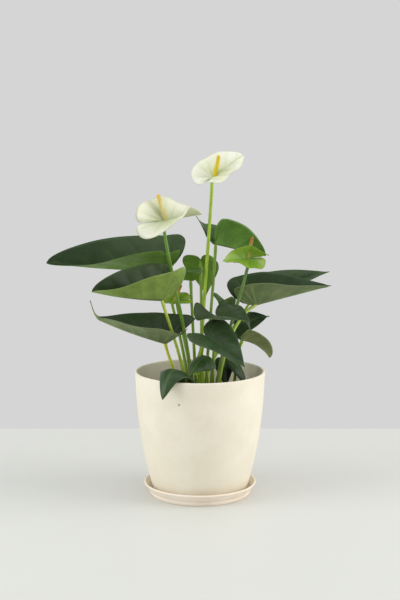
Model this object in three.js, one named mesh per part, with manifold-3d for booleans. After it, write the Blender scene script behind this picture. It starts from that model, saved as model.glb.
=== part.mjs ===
// A potted anthurium: a young flowering plant in a tapered pot on its saucer.
// Millimetres, +Z up, origin at the centre of the saucer's flat underside.
import * as THREE from 'three';
import { mergeVertices } from 'three/addons/utils/BufferGeometryUtils.js';
import Module from 'manifold-3d';

const wasm = await Module();
wasm.setup();

// ---------------------------------------------------------------- driving dimensions
const GAP = 0.3;                  // clearance between pieces that touch

const POT_RIM_RADIUS = 70;
const POT_FOOT_RADIUS = 50;
const POT_HEIGHT = 131.7;
const POT_WALL = 2.4;
const POT_FLOOR = 2.6;            // thickness of the pot's floor
const POT_FOOT_LIFT = 3;          // height of the foot ring under the floor
const POT_FOOT_WIDTH = 5;
const DRAIN_HOLE_RADIUS = 4;
const DRAIN_HOLES = 5;
const DRAIN_CIRCLE = 24;          // radius that the outer drain holes stand on

const SAUCER_BASE = 3;            // thickness of the saucer's floor
const SAUCER_WALL = 2.2;
const SAUCER_CLEARANCE = 2.6;     // between the pot's foot and the saucer's inner corner
const SAUCER_FLARE = 8.4;         // how far the lip stands out past the inner corner
const SAUCER_HEIGHT = 13.3;

const SOIL_DEPTH = 28;            // from the rim down to the potting mix
const SOIL_CROWN = 1.6;           // how far the mix is heaped up in the middle

const LEAF_THICKNESS = 0.9;
const SPATHE_THICKNESS = 1.0;
const PETIOLE_RADIUS = 1.8;
const PEDUNCLE_RADIUS = 2.0;

const AROUND = 36;                // segments round the pot and saucer
const STEM_SIDES = 6;
const STEM_STEPS = 8;
const ACROSS = 6;                 // strips across a blade, three to a side

// Heights that follow from the sizes above.
const potBase = SAUCER_BASE + GAP;
const rimHeight = potBase + POT_HEIGHT;
const soilLevel = rimHeight - SOIL_DEPTH;
const soilTop = soilLevel + SOIL_CROWN;

// ---------------------------------------------------------------- materials
const finish = (color, roughness) => new THREE.MeshStandardMaterial({ color, roughness, metalness: 0 });
const potCream = finish(0xe6dec8, 0.62);
const mixBrown = finish(0x3a2c22, 0.95);
const leafGreen = finish(0x3c5a30, 0.42);
const stemGreen = finish(0x8cab3f, 0.5);
const spatheWhite = finish(0xeff0d8, 0.5);
const spatheGreen = finish(0x8fb04a, 0.5);
const spadixYellow = finish(0xe2c838, 0.7);
const spadixAmber = finish(0xb98a35, 0.75);

const plant = new THREE.Group();
const addPiece = (name, geometry, material) => {
  geometry.computeVertexNormals();
  const mesh = new THREE.Mesh(geometry, material);
  mesh.name = name;
  plant.add(mesh);
  return mesh;
};

// ---------------------------------------------------------------- solids and booleans
const bare = (geometry) => {
  const positions = geometry.clone();
  positions.deleteAttribute('normal');
  positions.deleteAttribute('uv');
  return mergeVertices(positions, 1e-4);
};

const toSolid = (geometry) => {
  const merged = bare(geometry);
  return new wasm.Manifold(new wasm.Mesh({
    numProp: 3,
    vertProperties: new Float32Array(merged.attributes.position.array),
    triVerts: new Uint32Array(merged.index.array),
  }));
};

const fromSolid = (solid) => {
  const { vertProperties, triVerts } = solid.getMesh();
  const geometry = new THREE.BufferGeometry();
  geometry.setAttribute('position', new THREE.BufferAttribute(new Float32Array(vertProperties), 3));
  geometry.setIndex(new THREE.BufferAttribute(new Uint32Array(triVerts), 1));
  return geometry;
};

// A turned piece about Z from a closed list of [radius, height] points, anticlockwise.
const turned = (profile) => {
  const points = profile.map(([radius, height]) => new THREE.Vector2(radius, height));
  const geometry = new THREE.LatheGeometry(points, AROUND);
  geometry.rotateX(Math.PI / 2);
  return bare(geometry);
};

// ---------------------------------------------------------------- pot, saucer and potting mix
// The pot's side is one shallow curve that draws in towards the foot.
const sideCurve = new THREE.QuadraticBezierCurve(
  new THREE.Vector2(POT_FOOT_RADIUS, potBase),
  new THREE.Vector2(POT_RIM_RADIUS * 0.92 + POT_FOOT_RADIUS * 0.08, potBase + POT_HEIGHT * 0.42),
  new THREE.Vector2(POT_RIM_RADIUS, rimHeight),
);
const outerSide = sideCurve.getPoints(8).map((point) => [point.x, point.y]);
const sideRadiusAt = (height) => {
  const above = outerSide.findIndex(([, z]) => z >= height);
  const [r0, z0] = outerSide[Math.max(above - 1, 0)];
  const [r1, z1] = outerSide[Math.max(above, 1)];
  return r0 + (r1 - r0) * (height - z0) / (z1 - z0);
};
const innerFloor = potBase + POT_FOOT_LIFT + POT_FLOOR;

const makePot = () => {
  const rounding = POT_WALL * 0.35;
  const inner = outerSide
    .filter(([, z]) => z > innerFloor + POT_WALL && z < rimHeight - POT_WALL)
    .map(([radius, z]) => [radius - POT_WALL, z]);
  const outer = outerSide.filter(([, z]) => z > potBase + POT_FOOT_LIFT && z < rimHeight - POT_WALL);
  const shell = turned([
    [0, potBase + POT_FOOT_LIFT],
    [POT_FOOT_RADIUS - POT_FOOT_WIDTH, potBase + POT_FOOT_LIFT],
    [POT_FOOT_RADIUS - POT_FOOT_WIDTH, potBase],
    [POT_FOOT_RADIUS - rounding, potBase],
    [POT_FOOT_RADIUS + rounding, potBase + rounding * 2],
    ...outer,
    [POT_RIM_RADIUS, rimHeight - rounding],
    [POT_RIM_RADIUS - rounding, rimHeight],
    [POT_RIM_RADIUS - POT_WALL + rounding, rimHeight],
    [POT_RIM_RADIUS - POT_WALL, rimHeight - rounding],
    ...inner.reverse(),
    [sideRadiusAt(innerFloor) - POT_WALL * 1.4, innerFloor],
    [0, innerFloor],
  ]);
  let pot = toSolid(shell);
  const drill = new THREE.CylinderGeometry(DRAIN_HOLE_RADIUS, DRAIN_HOLE_RADIUS, POT_FLOOR * 4, 16);
  drill.rotateX(Math.PI / 2);
  for (let hole = 0; hole <= DRAIN_HOLES; hole++) {
    const angle = (hole / DRAIN_HOLES) * Math.PI * 2;
    const ring = hole === DRAIN_HOLES ? 0 : DRAIN_CIRCLE;
    const placed = drill.clone();
    placed.translate(ring * Math.cos(angle), ring * Math.sin(angle), innerFloor);
    pot = pot.subtract(toSolid(placed));
  }
  return fromSolid(pot);
};

const makeSaucer = () => {
  const corner = POT_FOOT_RADIUS + SAUCER_CLEARANCE;
  const lip = corner + SAUCER_FLARE;
  const lipHalf = SAUCER_WALL * 0.5;
  return turned([
    [0, 0],
    [corner - SAUCER_WALL, 0],
    [corner - SAUCER_WALL * 0.6, SAUCER_WALL * 0.4],
    [corner - SAUCER_WALL * 0.4, SAUCER_BASE],
    [corner + SAUCER_WALL, SAUCER_BASE * 1.3],
    [lip - SAUCER_WALL * 0.3, SAUCER_HEIGHT - SAUCER_WALL * 1.2],
    [lip, SAUCER_HEIGHT - lipHalf],
    [lip - lipHalf * 0.6, SAUCER_HEIGHT],
    [lip - SAUCER_WALL, SAUCER_HEIGHT - lipHalf * 0.6],
    [lip - SAUCER_WALL * 1.7, SAUCER_HEIGHT - SAUCER_WALL * 1.6],
    [corner, SAUCER_BASE + SAUCER_WALL * 0.8],
    [corner - SAUCER_WALL * 0.5, SAUCER_BASE],
    [0, SAUCER_BASE],
  ]);
};

const makePottingMix = () => {
  const inside = (height) => sideRadiusAt(height) - POT_WALL - GAP - POT_WALL * 0.2;
  const low = innerFloor + GAP;
  const levels = [0.12, 0.35, 0.6, 0.85].map((share) => low + (soilLevel - low) * share);
  return turned([
    [0, low],
    [inside(low) - POT_WALL, low],
    ...levels.map((height) => [inside(height), height]),
    [inside(soilLevel), soilLevel - SOIL_CROWN],
    [inside(soilLevel) * 0.75, soilLevel],
    [inside(soilLevel) * 0.4, soilTop - GAP],
    [0, soilTop],
  ]);
};

// ---------------------------------------------------------------- blades
// Half outlines, from the notch at the stalk round the lobe to the tip, one rib to a row:
// [margin along, margin across, where the rib leaves the midrib]. Lengths behind the stalk are
// shares of the lobe, lengths ahead of it are shares of the blade, widths are shares of half its width.
const LEAF_OUTLINE = [
  [-0.55, 0.10, -0.030], [-0.90, 0.30, -0.024], [-1.00, 0.60, -0.018], [-0.72, 0.88, -0.012],
  [-0.25, 1.00, -0.006], [0.12, 0.98, 0.03], [0.34, 0.84, 0.14], [0.56, 0.60, 0.32],
  [0.76, 0.33, 0.54], [0.92, 0.11, 0.80], [1.00, 0.00, 1.00],
];
const SPATHE_OUTLINE = [
  [-0.45, 0.07, -0.040], [-0.92, 0.18, -0.030], [-1.05, 0.50, -0.020], [-0.68, 0.85, -0.010],
  [0.00, 1.02, 0.00], [0.24, 1.00, 0.04], [0.46, 0.88, 0.16], [0.66, 0.68, 0.34],
  [0.84, 0.42, 0.58], [0.96, 0.15, 0.84], [1.00, 0.00, 1.00],
];
const RIB_SWEEP = 1.15;           // how strongly the side veins bend towards the tip
const TIP_START = 0.88;           // where a hooked tip begins, as a share of the length
const TIP_HALF_WIDTH = 0.5;
const FULL_FOLD = 4;              // a blade narrower than this to a side folds up less

const degrees = THREE.MathUtils.degToRad;
const up = new THREE.Vector3(0, 0, 1);

// The blade as a surface: row and side give the rib, reach runs 0 to 1 from midrib to margin.
// It returns the point and the direction its upper face looks.
const bladeSurface = (blade) => {
  const {
    base, tip, width, roll = 0, twist = 0, fold, tipFold = fold, arch = 0,
    lobe, lift = 0, tail = 0, taper = 1,
  } = blade;
  const start = new THREE.Vector3(...base);
  const along = new THREE.Vector3(...tip).sub(start);
  const length = along.length();
  along.normalize();
  const level = new THREE.Vector3().crossVectors(along, up).normalize();
  const facing = new THREE.Vector3().crossVectors(level, along);
  const half = width / 2;
  return (rib, side, reach) => {
    const [marginAlong, marginAcross, ribStart] = rib;
    const hand = side > 0 ? 1 : 0;
    const lobeLength = lobe[hand];
    const end = marginAlong < 0 ? marginAlong * lobeLength : marginAlong;
    const spread = marginAlong < 0 ? marginAcross
      : Math.max(marginAcross ** taper, TIP_HALF_WIDTH / half);
    const x = ribStart + (end - ribStart) * reach ** RIB_SWEEP;
    const y = half * spread * reach;
    const progress = THREE.MathUtils.clamp((x + lobeLength) / (1 + lobeLength), 0, 1);
    const rise = x >= 0 ? 4 * arch * x * (1 - x) : 4 * arch * x + lift * (x / lobeLength) ** 2;
    const slope = x >= 0 ? 4 * arch * (1 - 2 * x) : 4 * arch;
    const turn = degrees(roll + twist * progress);
    const normal = facing.clone().multiplyScalar(Math.cos(turn)).addScaledVector(level, Math.sin(turn));
    const across = level.clone().multiplyScalar(Math.cos(turn)).addScaledVector(facing, -Math.sin(turn));
    const forward = along.clone().multiplyScalar(length).addScaledVector(normal, slope).normalize();
    const outward = new THREE.Vector3().crossVectors(across, forward);
    const opened = Math.min(1, (half * spread) / FULL_FOLD);
    const angle = degrees(fold[hand] + (tipFold[hand] - fold[hand]) * progress) * opened;
    const hook = Math.max(0, (x - TIP_START) / (1 - TIP_START));
    const point = start.clone()
      .addScaledVector(along, x * length)
      .addScaledVector(up, tail * hook * hook)
      .addScaledVector(normal, rise)
      .addScaledVector(across, side * y * Math.cos(angle))
      .addScaledVector(outward, y * Math.sin(angle));
    const face = reach === 0 ? outward
      : outward.clone().multiplyScalar(Math.cos(angle)).addScaledVector(across, -side * Math.sin(angle));
    return { point, face };
  };
};

// A thin closed blade: the grid of a flat box laid over the surface, upper face up.
// grow widens it all round, for cutting what meets it.
const bladeGeometry = (blade, outline, thickness, grow = 0) => {
  const ribs = outline.slice(outline.findIndex(([, across]) => across >= (blade.notch ?? 0)));
  const rows = ribs.length - 1;
  const geometry = bare(new THREE.BoxGeometry(1, 1, 1, ACROSS, rows, 1));
  const surface = bladeSurface(blade);
  const positions = geometry.attributes.position;
  const backward = new THREE.Vector3(...blade.base).sub(new THREE.Vector3(...blade.tip)).normalize();
  for (let index = 0; index < positions.count; index++) {
    const across = positions.getX(index) * 2;
    const row = Math.round((positions.getY(index) + 0.5) * rows);
    const reach = Math.abs(across) * (1 + (2 * grow) / blade.width);
    const { point, face } = surface(ribs[row], Math.sign(across) || 1, reach);
    point.addScaledVector(face, positions.getZ(index) * (thickness + 2 * grow));
    if (row === 0) point.addScaledVector(backward, grow);
    positions.setXYZ(index, point.x, point.y, point.z);
  }
  return geometry;
};

// ---------------------------------------------------------------- stems
// A stem leaves the mix upright at its foot, bends, and runs through the blade at its far end;
// the blade, grown by the clearance, then cuts it off, so the two meet face to face.
const stemCurve = (foot, end, arrive) => {
  const [x, y] = foot;
  const rise = end.z - soilTop;
  const start = new THREE.Vector3(x, y, soilTop + GAP);
  const upright = new THREE.Vector3(x, y, soilTop + GAP + rise * 0.3);
  const lean = arrive ? end.clone().add(new THREE.Vector3(...arrive)) : new THREE.Vector3(
    end.x - (end.x - x) * 0.3,
    end.y - (end.y - y) * 0.3,
    end.z - rise * 0.35,
  );
  return new THREE.CubicBezierCurve3(start, upright, lean, end);
};

const tube = (curve, radius, steps) => {
  const section = new THREE.Shape();
  for (let side = 0; side < STEM_SIDES; side++) {
    const angle = ((side + 0.5) / STEM_SIDES) * Math.PI * 2;
    const [x, y] = [radius * Math.cos(angle), radius * Math.sin(angle)];
    if (side === 0) section.moveTo(x, y);
    else section.lineTo(x, y);
  }
  section.closePath();
  return new THREE.ExtrudeGeometry(section, { steps, extrudePath: curve });
};

const lowestPart = (solid) => solid.decompose()
  .reduce((lowest, part) => (part.boundingBox().min[2] < lowest.boundingBox().min[2] ? part : lowest));

const stemGeometry = (foot, radius, blade, outline, thickness) => {
  const surface = bladeSurface(blade);
  const { point, face } = surface(outline[outline.length - 1], 1, 0);
  const midrib = surface([0, 0, 0], 1, 0);
  const towardsTip = point.sub(midrib.point).normalize();
  const end = midrib.point.clone()
    .addScaledVector(towardsTip, radius * 1.4)
    .addScaledVector(midrib.face, radius * 1.6);
  const stalk = toSolid(tube(stemCurve(foot, end, blade.arrive), radius, STEM_STEPS));
  const cutter = toSolid(bladeGeometry(blade, outline, thickness, GAP));
  return fromSolid(lowestPart(stalk.subtract(cutter)));
};

// ---------------------------------------------------------------- spadix and crown
// A rod with a rounded end, seated in the spathe and cut to its surface.
const spadixGeometry = (blade, spadix) => {
  const surface = bladeSurface(blade);
  const { point, face } = surface([0, 0, 0], 1, 0);
  const forward = surface(SPATHE_OUTLINE[SPATHE_OUTLINE.length - 1], 1, 0).point.sub(point).normalize();
  const foot = point.clone().addScaledVector(forward, spadix.radius * 1.4).addScaledVector(face, -SPATHE_THICKNESS);
  const direction = new THREE.Vector3(...spadix.tip).sub(foot);
  const length = direction.length();
  const profile = [[0, 0], [spadix.radius * 0.9, 0]];
  for (const [share, width] of [[0.25, 1.0], [0.6, 0.9], [0.88, 0.72], [0.97, 0.45]]) {
    profile.push([spadix.radius * width, length * share]);
  }
  profile.push([0, length]);
  const rod = new THREE.LatheGeometry(profile.map(([x, y]) => new THREE.Vector2(x, y)), 12);
  rod.applyQuaternion(new THREE.Quaternion().setFromUnitVectors(new THREE.Vector3(0, 1, 0), direction.normalize()));
  rod.translate(foot.x, foot.y, foot.z);
  const cutter = toSolid(bladeGeometry(blade, SPATHE_OUTLINE, SPATHE_THICKNESS, GAP));
  const parts = toSolid(rod).subtract(cutter).decompose();
  return fromSolid(parts.reduce((best, part) => (part.volume() > best.volume() ? part : best)));
};

// ---------------------------------------------------------------- the plant
// Places are measured from the middle of the potting mix, so the plant rises and falls with it.
const inPot = ([x, y, height]) => [x, y, soilLevel + height];

// foot: where the stalk leaves the mix. base and tip: the ends of the blade. fold: how far each
// side stands up from the midrib, left and right seen from the stalk, at the lobes and at the tip.
// arrive: the way the stalk comes up to the blade, where it isn't the plain lean.
const leaves = {
  left_upper: {
    foot: [-13, 8], base: [-38, 24, 135], tip: [-168, 34, 141], width: 90, twist: -38,
    fold: [48, 46], tipFold: [32, 38], arch: -3, lobe: [0.13, 0.16], lift: 10, taper: 0.6,
  },
  left_middle: {
    foot: [-15, -10], base: [-40, -25, 108], tip: [-111, -55, 121], width: 80, twist: -10,
    fold: [66, 66], tipFold: [28, 75], arch: -2, lobe: [0.26, 0.14], lift: 10, taper: 0.55,
    arrive: [11, 2, -38],
  },
  left_lower: {
    foot: [-21, -14], base: [-37, -19, 61], tip: [-114, -42, 94], width: 68, notch: 0.4,
    fold: [26, 76], tipFold: [28, 40], arch: -2, lobe: [0.14, 0.30], lift: 14, tail: 16,
  },
  centre_back: {
    foot: [-5, 8], base: [-10, 8, 125], tip: [-52, 3, 123], width: 36,
    fold: [35, 35], arch: 2, lobe: [0.28, 0.28], lift: 8,
  },
  rear_hanging: {
    foot: [2, 13], base: [1, 40, 143], tip: [7, 65, 101], width: 40,
    fold: [-10, -10], arch: 4, lobe: [0.25, 0.25],
  },
  right_top: {
    foot: [7, 5], base: [17, 10, 164], tip: [72, 50, 147], width: 66,
    fold: [42, 70], tipFold: [50, 50], lobe: [0.34, 0.12], lift: 14, taper: 0.7,
  },
  right_large: {
    foot: [20, -3], base: [61, 24, 96], tip: [144, 40, 115], width: 70, roll: 8, twist: 6,
    fold: [66, 62], tipFold: [58, 40], lobe: [0.30, 0.26], lift: 8, arrive: [-28, -22, -10],
  },
  right_rear: {
    foot: [4, 28], base: [60, 58, 102], tip: [146, 78, 126], width: 42,
    fold: [25, 25], arch: 2, lobe: [0.16, 0.16], lift: 2, arrive: [-14, 2, -30],
  },
  centre_small: {
    foot: [12, 10], base: [23, 17, 97], tip: [38, 48, 87], width: 32,
    fold: [50, 35], arch: 1, lobe: [0.12, 0.12],
  },
  centre_folded: {
    foot: [13, -6], base: [19, -21, 90], tip: [52, -57, 89], width: 50,
    fold: [27, 14], arch: 1, lobe: [0.24, 0.36], lift: 11, tail: -9, arrive: [-3, 9, -14],
  },
  front_large: {
    foot: [2, -13], base: [7, -38, 71], tip: [46, -63, 44], width: 54, roll: 14,
    fold: [28, 12], arch: 2, lobe: [0.22, 0.24], arrive: [-9, 16, -18],
  },
  right_pale: {
    foot: [27, 23], base: [46, 18, 58], tip: [77, 32, 36], width: 36,
    fold: [10, 45], arch: 6, lobe: [0.1, 0.1], taper: 0.6,
  },
  right_dark: {
    foot: [18, 23], base: [40, 34, 73], tip: [76, 26, 83], width: 38,
    fold: [30, -45], arch: 1, lobe: [0.15, 0.15], arrive: [-8, 2, -20],
  },
  front_small: {
    foot: [9, -20], base: [6, -39, 50], tip: [-10, -62, 35], width: 32,
    fold: [-50, -15], arch: 3, lobe: [0.2, 0.2],
  },
  low_centre: {
    foot: [21, 17], base: [26, 13, 33], tip: [28, 3, 8], width: 20,
    fold: [-15, -15], arch: 2, lobe: [0.3, 0.3],
  },
  low_right: {
    foot: [37, 6], base: [39, 6, 33], tip: [49, -2, 10], width: 20,
    fold: [-15, -15], arch: 2, lobe: [0.3, 0.3],
  },
  furled: {
    foot: [-4, -9], base: [0, -11, 31], tip: [5, -12, 66], width: 14,
    fold: [60, 60], lobe: [0.2, 0.2],
  },
};
for (const leaf of Object.values(leaves)) {
  leaf.base = inPot(leaf.base);
  leaf.tip = inPot(leaf.tip);
}

// One leaf arches over the rim and hangs down outside, so it is placed from the rim.
const overRim = (beyond, azimuth, height) => {
  const radius = POT_RIM_RADIUS + beyond;
  return [radius * Math.cos(degrees(azimuth)), radius * Math.sin(degrees(azimuth)), rimHeight + height];
};
leaves.over_rim = {
  foot: [-12, -26], base: overRim(-33, -112, -2), tip: overRim(17, -116, -15), width: 40,
  fold: [-25, -10], arch: 20, lobe: [0.2, 0.2], taper: 0.7,
};

const flowers = {
  tall: {
    foot: [0, -2], base: [13, 5, 235], tip: [46, 18, 258], width: 48, roll: 38,
    fold: [22, 26], tipFold: [22, 26], lobe: [0.38, 0.15],
    spadix: { radius: 2.4, tip: [20, 0, 259] }, skin: spatheWhite, rod: spadixYellow,
  },
  left: {
    foot: [-9, -9], base: [-39, -20, 191], tip: [2, 0, 197], width: 50, roll: 62, twist: -50,
    fold: [22, 6], tipFold: [15, 62], lobe: [0.6, 0.62], lift: 4,
    spadix: { radius: 2.8, tip: [-44, -22, 219] }, skin: spatheWhite, rod: spadixYellow,
  },
  right: {
    foot: [18, -8], base: [53, -2, 150], tip: [24, -21, 149], width: 34, roll: -78, twist: 45,
    fold: [20, 4], tipFold: [40, 10], lobe: [0.5, 0.46],
    spadix: { radius: 2.2, tip: [56, -4, 173] }, skin: spatheGreen, rod: spadixAmber,
  },
  young: {
    foot: [-8, 2], base: [-25, 2, 103], tip: [-42, 2, 101], width: 18,
    fold: [20, 20], lobe: [0.6, 0.6],
    spadix: { radius: 1.8, tip: [-20, 2, 121] }, skin: spatheGreen, rod: spadixAmber,
  },
};
for (const flower of Object.values(flowers)) {
  flower.base = inPot(flower.base);
  flower.tip = inPot(flower.tip);
  flower.spadix.tip = inPot(flower.spadix.tip);
}

// ---------------------------------------------------------------- assembly
addPiece('pot', makePot(), potCream);
addPiece('saucer', makeSaucer(), potCream);
addPiece('potting_mix', makePottingMix(), mixBrown);

for (const [name, leaf] of Object.entries(leaves)) {
  addPiece(`leaf_${name}`, bladeGeometry(leaf, LEAF_OUTLINE, LEAF_THICKNESS), leafGreen);
  const stalk = stemGeometry(leaf.foot, PETIOLE_RADIUS, leaf, LEAF_OUTLINE, LEAF_THICKNESS);
  addPiece(`petiole_${name}`, stalk, stemGreen);
}

for (const [name, flower] of Object.entries(flowers)) {
  addPiece(`spathe_${name}`, bladeGeometry(flower, SPATHE_OUTLINE, SPATHE_THICKNESS), flower.skin);
  addPiece(`spadix_${name}`, spadixGeometry(flower, flower.spadix), flower.rod);
  const stalk = stemGeometry(flower.foot, PEDUNCLE_RADIUS, flower, SPATHE_OUTLINE, SPATHE_THICKNESS);
  addPiece(`peduncle_${name}`, stalk, stemGreen);
}

export default plant;
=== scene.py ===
"""A potted anthurium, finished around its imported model. Metres, +Z up, origin under the saucer."""

import math

import bpy
import numpy as np
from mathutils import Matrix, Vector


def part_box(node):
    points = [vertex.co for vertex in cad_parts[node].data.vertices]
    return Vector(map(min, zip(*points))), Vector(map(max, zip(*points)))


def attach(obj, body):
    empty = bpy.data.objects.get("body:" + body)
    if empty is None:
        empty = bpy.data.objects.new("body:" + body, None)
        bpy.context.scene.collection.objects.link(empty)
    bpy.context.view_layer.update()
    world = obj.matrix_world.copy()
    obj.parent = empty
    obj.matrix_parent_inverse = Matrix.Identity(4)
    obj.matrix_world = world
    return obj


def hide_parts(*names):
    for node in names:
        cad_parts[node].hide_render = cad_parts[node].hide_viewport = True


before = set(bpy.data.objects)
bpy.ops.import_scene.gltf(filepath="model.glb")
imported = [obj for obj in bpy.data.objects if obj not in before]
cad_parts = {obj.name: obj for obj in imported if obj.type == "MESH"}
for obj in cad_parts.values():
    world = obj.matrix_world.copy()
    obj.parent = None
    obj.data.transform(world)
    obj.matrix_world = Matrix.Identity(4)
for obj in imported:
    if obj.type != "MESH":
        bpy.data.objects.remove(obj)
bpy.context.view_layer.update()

MM = 0.001

# ---------------------------------------------------------------- sizes, in millimetres
pot_low, pot_high = (np.array(corner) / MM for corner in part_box("pot"))
mix_low, mix_high = (np.array(corner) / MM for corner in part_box("potting_mix"))
saucer_high = np.array(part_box("saucer")[1]) / MM

RIM_RADIUS = float(pot_high[0])
RIM_HEIGHT = float(pot_high[2])
POT_BASE = float(pot_low[2])
POT_FOOT = 50.0
POT_WALL = 2.4
SOIL_DEPTH = 28.0
SOIL_LEVEL = RIM_HEIGHT - SOIL_DEPTH
MIX_TOP = float(mix_high[2])
MIX_BASE = float(mix_low[2])
AROUND = 128

LEAF_THICKNESS = 0.9
SPATHE_THICKNESS = 1.0
PETIOLE_RADIUS = 1.8
PEDUNCLE_RADIUS = 2.0
GAP = 0.3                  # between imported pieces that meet
LARGE_LEAF = 44            # blades wider than these get a finer mesh
LARGE_SPATHE = 24


# ---------------------------------------------------------------- colours
def srgb(red, green, blue):
    """A colour given as it looks on a screen, 0 to 255, as linear light."""
    parts = [value / 255 for value in (red, green, blue)]
    return tuple(v / 12.92 if v <= 0.04045 else ((v + 0.055) / 1.055) ** 2.4 for v in parts)


# ---------------------------------------------------------------- node helpers
def wire(tree, kind, settings=None, **inputs):
    """Adds a node. Inputs are named by their label, with _ for a space, or by number as n0, n1."""
    node = tree.nodes.new(kind)
    for key, value in (settings or {}).items():
        setattr(node, key, value)
    for key, value in inputs.items():
        socket = node.inputs[int(key[1:])] if key[0] == "n" and key[1:].isdigit() \
            else node.inputs[key.replace("_", " ")]
        if isinstance(value, bpy.types.NodeSocket):
            tree.links.new(value, socket)
        else:
            socket.default_value = value
    return node


def maths(tree, operation, first, second=0.0):
    """One sum on two numbers."""
    return wire(tree, "ShaderNodeMath", {"operation": operation}, n0=first, n1=second).outputs[0]


def ramp(tree, value, low, high, start=0.0, end=1.0):
    """value carried from low..high to start..end, eased and held at both ends."""
    node = wire(tree, "ShaderNodeMapRange", {"interpolation_type": "SMOOTHSTEP"}, n0=value,
                n1=low, n2=high, n3=start, n4=end)
    return node.outputs[0]


def mixed(tree, share, first, second, blend="MIX"):
    """Two colours mixed; share is how much of the second."""
    node = tree.nodes.new("ShaderNodeMix")
    node.data_type = "RGBA"
    node.blend_type = blend
    for index, value in ((0, share), (6, first), (7, second)):
        if isinstance(value, bpy.types.NodeSocket):
            tree.links.new(value, node.inputs[index])
        else:
            node.inputs[index].default_value = value if index == 0 else (*value[:3], 1.0)
    return node.outputs[2]


def noise(tree, where, scale, detail=3.0, roughness=0.55):
    """Soft noise from 0 to 1, scale cells to the metre."""
    return wire(tree, "ShaderNodeTexNoise", Vector=where, Scale=scale, Detail=detail,
                Roughness=roughness).outputs[0]


def surface(name, roughness, **constants):
    """A material with one Principled shader. Returns the material, its tree, shader and coordinates."""
    material = bpy.data.materials.new(name)
    material.use_nodes = True
    tree = material.node_tree
    shader = tree.nodes["Principled BSDF"]
    shader.inputs["Roughness"].default_value = roughness
    for key, value in constants.items():
        shader.inputs[key.replace("_", " ")].default_value = value
    place = tree.nodes.new("ShaderNodeTexCoord").outputs["Object"]
    return material, tree, shader, place


def relief(tree, shader, height, strength, distance):
    """Fine bumps on a surface, distance metres deep at most."""
    bump = wire(tree, "ShaderNodeBump", Height=height, Strength=strength, Distance=distance)
    tree.links.new(bump.outputs[0], shader.inputs["Normal"])


# ---------------------------------------------------------------- materials
def pot_plastic(name, tone, shade, spots=()):
    """Satin moulded plastic with a soft cloudiness and fine flecks."""
    material, tree, shader, place = surface(name, 0.5, Specular_IOR_Level=0.42)
    clouds = ramp(tree, noise(tree, place, 34, 4), 0.3, 0.7)
    colour = mixed(tree, clouds, tone, shade)
    flecks = wire(tree, "ShaderNodeTexVoronoi", Vector=place, Scale=330.0, Randomness=1.0)
    sparse = ramp(tree, noise(tree, place, 120, 2), 0.5, 0.62)
    dots = maths(tree, "MULTIPLY", ramp(tree, flecks.outputs["Distance"], 0.20, 0.08), sparse)
    colour = mixed(tree, maths(tree, "MULTIPLY", dots, 0.32), colour, srgb(150, 128, 96))
    for spot, size in spots:
        away = wire(tree, "ShaderNodeVectorMath", {"operation": "DISTANCE"}, n0=place, n1=spot)
        mark = ramp(tree, away.outputs["Value"], size, size * 0.4, 0.0, 0.85)
        colour = mixed(tree, mark, colour, srgb(104, 78, 48))
    tree.links.new(colour, shader.inputs["Base Color"])
    tree.links.new(ramp(tree, noise(tree, place, 260, 3), 0.2, 0.8, 0.44, 0.58),
                   shader.inputs["Roughness"])
    relief(tree, shader, noise(tree, place, 900, 4, 0.6), 0.12, 0.0002)
    return material


def leaf_skin():
    """Waxy leaf: the blade's tone, which for the backlit rear_hanging leaf holds painted light shining
    through it, paler veins along its ribs, fine mottling.
    """
    material, tree, shader, place = surface("leaf_skin", 0.4, Specular_IOR_Level=0.26)
    tone = wire(tree, "ShaderNodeAttribute", {"attribute_name": "tone"}).outputs["Color"]
    under = wire(tree, "ShaderNodeAttribute", {"attribute_name": "under"}).outputs["Fac"]
    rib = wire(tree, "ShaderNodeAttribute", {"attribute_name": "rib"}).outputs["Fac"]
    patch = ramp(tree, noise(tree, place, 55, 5, 0.6), 0.25, 0.75, 0.80, 1.22)
    grain = ramp(tree, noise(tree, place, 420, 3, 0.6), 0.25, 0.75, 0.9, 1.1)
    light = maths(tree, "MULTIPLY", patch, grain)
    lit = wire(tree, "ShaderNodeVectorMath", {"operation": "SCALE"}, n0=tone, Scale=light).outputs[0]
    pale = mixed(tree, under, srgb(112, 132, 82), srgb(146, 160, 108))
    shown = maths(tree, "MULTIPLY", rib, ramp(tree, under, 0.0, 1.0, 0.26, 0.55))
    colour = mixed(tree, shown, lit, pale)
    tree.links.new(colour, shader.inputs["Base Color"])
    sheen = maths(tree, "ADD", ramp(tree, noise(tree, place, 90, 3), 0.3, 0.7, 0.34, 0.46),
                  maths(tree, "MULTIPLY", under, 0.14))
    tree.links.new(sheen, shader.inputs["Roughness"])
    relief(tree, shader, noise(tree, place, 1300, 3, 0.6), 0.18, 0.0002)
    return material


def spathe_skin():
    """Waxy spathe: its tone runs from green at the stalk to the margin, partly its own colour and partly
    painted shade and painted highlight, with fine curved veins.
    """
    material, tree, shader, place = surface("spathe_skin", 0.42, Subsurface_Weight=0.12,
                                            Subsurface_Scale=0.002, Specular_IOR_Level=0.42)
    tone = wire(tree, "ShaderNodeAttribute", {"attribute_name": "tone"}).outputs["Color"]
    rib = wire(tree, "ShaderNodeAttribute", {"attribute_name": "rib"}).outputs["Fac"]
    veined = wire(tree, "ShaderNodeVectorMath", {"operation": "MULTIPLY"}, n0=tone,
                  n1=(0.70, 0.78, 0.50)).outputs[0]
    clouds = ramp(tree, noise(tree, place, 80, 4), 0.3, 0.7, 0.0, 0.16)
    colour = mixed(tree, maths(tree, "MULTIPLY", rib, 0.75), tone, veined)
    colour = mixed(tree, clouds, colour, veined)
    tree.links.new(colour, shader.inputs["Base Color"])
    tree.links.new(ramp(tree, noise(tree, place, 150, 3), 0.3, 0.7, 0.36, 0.5),
                   shader.inputs["Roughness"])
    relief(tree, shader, noise(tree, place, 800, 3, 0.6), 0.14, 0.0002)
    return material


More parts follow.
